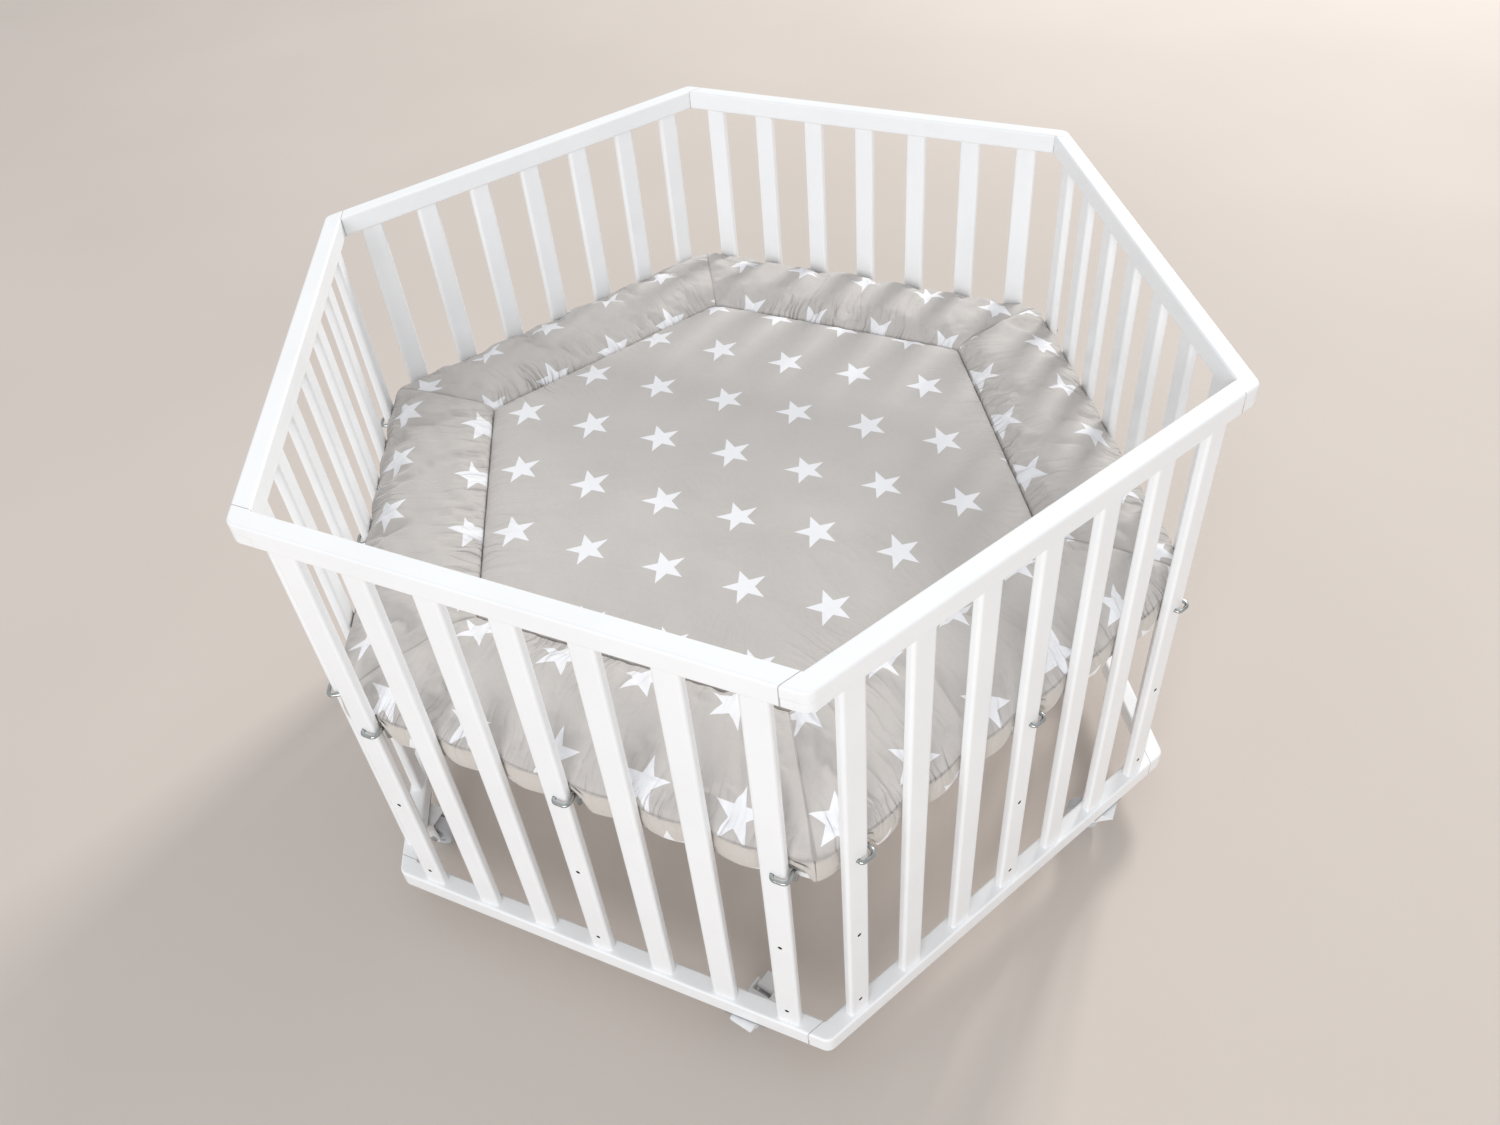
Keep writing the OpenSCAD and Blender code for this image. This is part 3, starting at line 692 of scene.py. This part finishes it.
# rails 1 and 4 run along Y, the others nearer X; a rail's lap seam lies where the next panel's rail begins
rail_mats = {}
for i in range(1, 7):
    grain = 1 if i in (1, 4) else 0
    rail_mats[i] = lacquer(f"lacquer_rail_{i}", WHITE, grain, lap_angle=math.radians(60 * i))
slat_mat = lacquer("lacquer_slat", WHITE, 2)
# painted shade for the walls inside the hook holes
hole_mat = painted_hole_shade()
board_mat = lacquer("lacquer_board", rgb(238, 239, 240), 0, 0.42)
steel = metal("zinc_plate", rgb(196, 199, 203), 0.34)
wire = metal("hook_wire", rgb(186, 190, 190), 0.20, 0.12)
hood = powder_coat("castor_hood", rgb(246, 247, 248))
wheel = plastic("castor_wheel", rgb(205, 208, 212), 0.42)
clip = plastic("clip_plastic", rgb(226, 228, 230), 0.4)


def dress(name, mat):
    """Gives a CAD node one material."""
    me = nodes[name].data
    me.materials.clear()
    me.materials.append(mat)


def shade_hook_holes(panel, mat):
    """Gives the walls of a panel's hook holes their own material, dark brown as painted shade inside the
    holes.
    """
    me = nodes[f"slats_{panel}"].data
    me.materials.append(mat)
    a = math.radians(60 * (panel - 1))
    reach = HOLE_R * 1.05
    for face in me.polygons:
        at = face.center
        out = at.x * math.cos(a) + at.y * math.sin(a)
        along = at.y * math.cos(a) - at.x * math.sin(a)
        in_depth = SLAT_OUT - 0.0075 < out < SLAT_OUT - 0.0004
        near_slat = min(abs(along - slat * SLAT_PITCH) for slat in HOOK_SLATS) < reach
        near_level = min(abs(at.z - level) for level in HOLE_LEVELS) < reach
        if in_depth and near_slat and near_level:
            face.material_index = 1


for i in range(1, 7):
    dress(f"top_rail_{i}", rail_mats[i])
    dress(f"bottom_rail_{i}", rail_mats[i])
    dress(f"slats_{i}", slat_mat)
    shade_hook_holes(i, hole_mat)
    dress(f"castor_plate_{i}", steel)
    dress(f"castor_fork_{i}", hood)
    dress(f"castor_axle_{i}", steel)
    dress(f"castor_wheel_{i}", wheel)
for i in (1, 3, 5):
    dress(f"brake_lever_{i}", hood)
for name in ("floor_board_back", "floor_board_front", "floor_batten_1", "floor_batten_2", "floor_batten_3"):
    dress(name, board_mat)
for name in ("corner_bolts", "corner_inserts", "batten_screws", "clip_screws", "plate_screws", "swivel_pins"):
    dress(name, steel)
dress("floor_hooks", wire)
dress("hook_clips", clip)

# ---------------------------------------------------------------- stage, light and camera
floor_mesh = bpy.data.meshes.new("ground")
floor_mesh.from_pydata([(-14, -14, 0), (14, -14, 0), (14, 14, 0), (-14, 14, 0)], [], [(0, 1, 2, 3)])
ground = bpy.data.objects.new("ground", floor_mesh)
bpy.context.scene.collection.objects.link(ground)
floor_look = Shader("ground")
tone = floor_look.noise(floor_look.coords(), 1.2, 2.0, 0.5)
pale = floor_look.ramp(tone, [(0.3, rgb(202, 192, 184)), (0.7, rgb(207, 197, 189))])
ground.data.materials.append(floor_look.set(Base_Color=pale, Roughness=0.8))

world = bpy.data.worlds.new("world")
world.use_nodes = True
sky = world.node_tree.nodes["Background"]
sky.inputs["Color"].default_value = (0.96, 0.98, 1.0, 1)
sky.inputs["Strength"].default_value = 0.67
bpy.context.scene.world = world


def area(name, at, to, size, power, colour):
    light = bpy.data.lights.new(name, "AREA")
    light.shape = "RECTANGLE"
    light.size, light.size_y = size
    light.energy = power
    light.color = colour
    lamp = bpy.data.objects.new(name, light)
    lamp.location = at
    lamp.rotation_euler = (Vector(to) - Vector(at)).to_track_quat("-Z", "Y").to_euler()
    bpy.context.scene.collection.objects.link(lamp)


area("window", (4.7, 5.4, 4.6), (0, 0, 0.4), (1.5, 1.5), 400, (1.0, 0.985, 0.96))
area("room", (-2.0, -5.6, 3.0), (0, 0, 0.4), (3.6, 2.6), 180, (0.97, 0.98, 1.0))
bpy.context.scene.view_settings.view_transform = "Standard"

cam_data = bpy.data.cameras.new("camera")
cam = bpy.data.objects.new("camera", cam_data)
bpy.context.scene.collection.objects.link(cam)
bpy.context.scene.camera = cam
azimuth, elevation, roll = (math.radians(v) for v in (-5.26, 39.382, -4.167))
level = Vector((math.sin(azimuth), -math.cos(azimuth), 0))
back = level * math.cos(elevation) + Vector((0, 0, math.sin(elevation)))
right = (-back).cross(Vector((0, 0, 1))).normalized()
up = right.cross(-back).normalized()
x_axis = right * math.cos(roll) + up * math.sin(roll)
y_axis = -right * math.sin(roll) + up * math.cos(roll)
turn = Matrix((x_axis, y_axis, back)).transposed().to_4x4()
cam.matrix_world = Matrix.Translation((-0.0617, -1.1511, 1.4699)) @ turn
cam_data.lens = 27.667
cam_data.shift_x = -0.0162
cam_data.shift_y = -0.0972
cam_data.clip_start = 0.01
cam_data.clip_end = 60
